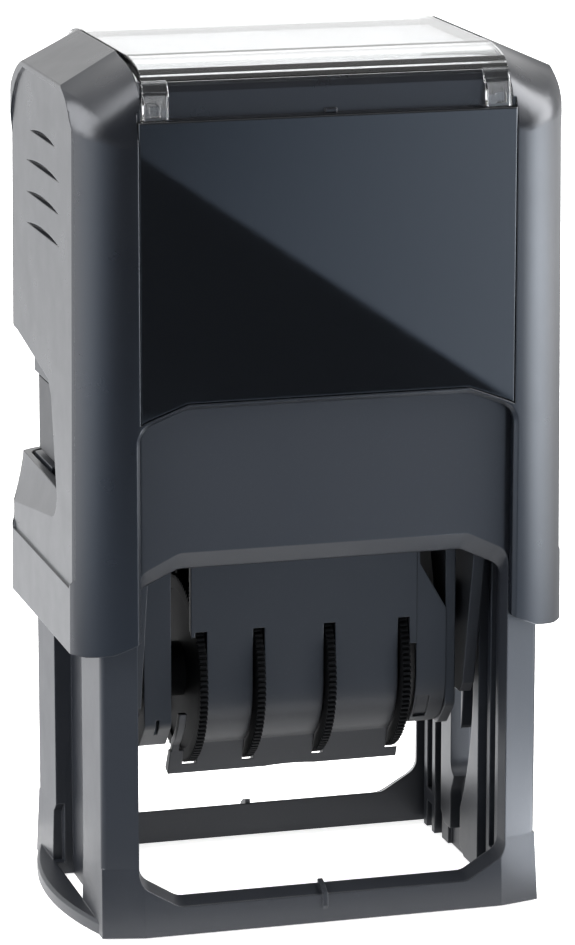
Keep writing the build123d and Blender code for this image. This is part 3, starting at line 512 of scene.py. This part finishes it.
def painted_table_reflection():
    """Glowing sheet on the floor round the object, seen only in reflections: a painted reflection of a lit table top,
    dark in front, graded white to the right, brighter to both sides.
    """
    bm = bmesh.new()
    for x0, x1, y0, y1 in ((-0.7, -0.034, -1.6, 0.9), (0.034, 0.7, -1.6, 0.9), (-0.034, 0.034, -1.6, -0.026), (-0.034, 0.034, 0.026, 0.9)):
        bm.faces.new([bm.verts.new((x, y, 0.0004)) for x, y in ((x0, y0), (x1, y0), (x1, y1), (x0, y1))])
    m, nt, bsdf, out = new_material("painted_table_reflection")
    bsdf.inputs["Base Color"].default_value = (0.002, 0.002, 0.002, 1)
    bsdf.inputs["Roughness"].default_value = 1.0
    bsdf.inputs["Specular IOR Level"].default_value = 0.0
    sep = add(nt, "ShaderNodeSeparateXYZ")
    nt.links.new(object_coord(nt), sep.inputs["Vector"])
    x, y = sep.outputs["X"], sep.outputs["Y"]
    # bearing from the nearer corner, front = 0, right = 90
    off = math_node(nt, "ADD", math_node(nt, "MAXIMUM", math_node(nt, "SUBTRACT", x, 0.025), 0.0), math_node(nt, "MINIMUM", math_node(nt, "ADD", x, 0.025), 0.0))
    bearing = math_node(nt, "ARCTAN2", off, math_node(nt, "SUBTRACT", -0.015, y))
    turn = math_node(nt, "ADD", math_node(nt, "DIVIDE", bearing, 2 * math.pi), 0.5)
    ring = add(nt, "ShaderNodeValToRGB")
    stops = [(-180, 1.75), (-150, 1.75), (-125, 2.9), (-112, 3.5), (-84, 3.2), (-68, 2.7), (-54, 1.75), (-40, 0.65), (-25, 0.15), (-14, 0.03),
             (22, 0.03), (29, 2.3), (38, 3.8), (48, 7.5), (60, 10.8), (73, 8.6), (88, 5.0), (105, 2.6), (121, 1.4), (145, 0.8), (165, 1.2), (180, 1.75)]
    ramp = ring.color_ramp
    while len(ramp.elements) < len(stops):
        ramp.elements.new(0.5)
    for el, (deg, level) in zip(ramp.elements, stops):
        el.position = (deg + 180) / 360
    for el, (deg, level) in zip(ramp.elements, stops):
        el.color = (level / 12, level / 12, level / 12, 1)
    nt.links.new(turn, ring.inputs["Fac"])
    side = math_node(nt, "MULTIPLY", ring.outputs["Color"], 12.0)
    # to the right: lower between the foot's edge and the far part; to the left: low close in; behind: falling off
    right = math_node(nt, "ADD", remap(nt, x, 0.055, 0.072, 1.4, 0.0), math_node(nt, "ADD", remap(nt, x, 0.14, 0.185, 0.20, 0.76), remap(nt, x, 0.28, 0.37, 0.0, 0.62)))
    low = math_node(nt, "MULTIPLY", remap(nt, x, -0.20, -0.16, 0.0, 0.92), remap(nt, y, -0.005, 0.02, 1.0, 0.0))
    left = math_node(nt, "MULTIPLY", math_node(nt, "SUBTRACT", 1.0, low), remap(nt, y, 0.15, 0.36, 1.0, 0.82))
    is_right = remap(nt, x, -0.001, 0.001, 0.0, 1.0)
    side = math_node(nt, "MULTIPLY", side, math_node(nt, "ADD", math_node(nt, "MULTIPLY", right, is_right), math_node(nt, "MULTIPLY", left, math_node(nt, "SUBTRACT", 1.0, is_right))))
    # far part in front: dark up to a straight edge, then graded
    across = math_node(nt, "ADD", x, math_node(nt, "MULTIPLY", y, 0.336))
    graded = math_node(nt, "MULTIPLY", remap(nt, across, -0.075, 0.020, 0.62, 2.40), remap(nt, x, 0.1075, 0.1095, 0.03, 1.0))
    middle = math_node(nt, "MULTIPLY", remap(nt, y, -0.285, -0.268, 0.0, 1.0), remap(nt, x, 0.025, 0.085, 0.35, 1.35))
    far = math_node(nt, "MAXIMUM", side, math_node(nt, "MAXIMUM", graded, middle))
    close = math_node(nt, "MAXIMUM", side, remap(nt, y, -0.20, -0.05, 1.0, 0.75))
    near = remap(nt, y, -0.22, -0.18, 0.0, 1.0)
    level = math_node(nt, "ADD", math_node(nt, "MULTIPLY", far, math_node(nt, "SUBTRACT", 1.0, near)), math_node(nt, "MULTIPLY", close, near))
    front = mix_colour(nt, remap(nt, level, 1.0, 4.0, 0.0, 1.0), (0.64, 0.79, 1.0), (0.88, 0.94, 1.0))
    nt.links.new(mix_colour(nt, remap(nt, y, -0.06, 0.02, 0.0, 1.0), front, (0.97, 0.98, 1.0)), bsdf.inputs["Emission Color"])
    nt.links.new(level, bsdf.inputs["Emission Strength"])
    o = mesh_object("painted_table_reflection", bm, m, smooth=False)
    o.visible_camera = False
    o.visible_diffuse = False
    o.visible_shadow = False
    o.visible_transmission = False


painted_table_reflection()


def area(name, azimuth, elevation, distance, width, height, radiance, target=(0, 0, 0.05), colour=(1, 1, 1)):
    a, e = math.radians(azimuth), math.radians(elevation)
    back = Vector((math.sin(a) * math.cos(e), -math.cos(a) * math.cos(e), math.sin(e)))
    light = bpy.data.lights.new(name, "AREA")
    light.shape = "RECTANGLE"
    light.size, light.size_y = width, height
    light.energy = radiance * math.pi * width * height
    light.color = colour
    o = bpy.data.objects.new(name, light)
    SCENE.collection.objects.link(o)
    o.location = Vector(target) + back * distance
    o.rotation_mode = "QUATERNION"
    o.rotation_quaternion = back.to_track_quat("Z", "Y")
    return o


area("right_box", 74, 26, 0.6, 0.36, 0.56, 12.0)
area("left_box", -82, 32, 0.7, 0.5, 0.75, 8.5)
area("top_box", 170, 72, 1.3, 1.3, 1.2, 0.5)


def world():
    w = bpy.data.worlds.new("studio")
    SCENE.world = w
    w.use_nodes = True
    nt = w.node_tree
    nt.nodes.clear()
    out = nt.nodes.new("ShaderNodeOutputWorld")
    fill = nt.nodes.new("ShaderNodeBackground")
    seen = nt.nodes.new("ShaderNodeBackground")
    mixer = nt.nodes.new("ShaderNodeMixShader")
    path = nt.nodes.new("ShaderNodeLightPath")
    tc = nt.nodes.new("ShaderNodeTexCoord")
    sep = nt.nodes.new("ShaderNodeSeparateXYZ")
    nt.links.new(tc.outputs["Generated"], sep.inputs["Vector"])
    level = nt.nodes.new("ShaderNodeMapRange")
    level.interpolation_type = "SMOOTHSTEP"
    level.inputs["From Min"].default_value = -0.8
    level.inputs["From Max"].default_value = 0.6
    level.inputs["To Min"].default_value = 0.20
    level.inputs["To Max"].default_value = 1.2
    nt.links.new(sep.outputs["Y"], level.inputs["Value"])
    nt.links.new(level.outputs["Result"], fill.inputs["Strength"])
    fill.inputs["Color"].default_value = (1, 1, 1, 1)
    seen.inputs["Color"].default_value = (1, 1, 1, 1)
    seen.inputs["Strength"].default_value = 1.0
    nt.links.new(path.outputs["Is Camera Ray"], mixer.inputs["Fac"])
    nt.links.new(fill.outputs["Background"], mixer.inputs[1])
    nt.links.new(seen.outputs["Background"], mixer.inputs[2])
    nt.links.new(mixer.outputs["Shader"], out.inputs["Surface"])


world()
SCENE.view_settings.view_transform = "Standard"
SCENE.view_settings.look = "None"


# ------------------------------------------------------------------ camera
def camera():
    az, el, focal, dist, u0, v0 = -15.746, 13.502, 4539.205, 0.527176, -4.705, 7.655
    a, e = math.radians(az), math.radians(el)
    back = Vector((math.sin(a) * math.cos(e), -math.cos(a) * math.cos(e), math.sin(e)))
    right = Vector((math.cos(a), math.sin(a), 0))
    up = back.cross(right)
    m = Matrix((right, up, back)).transposed().to_4x4()
    m.translation = Vector((0, 0, 0.048)) + back * dist
    cam = bpy.data.cameras.new("camera")
    cam.sensor_fit = "VERTICAL"
    cam.sensor_height = 36.0
    cam.lens = 36.0 * focal / 945.0
    cam.shift_x = -u0 / 945.0
    cam.shift_y = v0 / 945.0
    cam.clip_start = 0.01
    cam.clip_end = 50.0
    o = bpy.data.objects.new("camera", cam)
    SCENE.collection.objects.link(o)
    o.matrix_world = m
    SCENE.camera = o


camera()
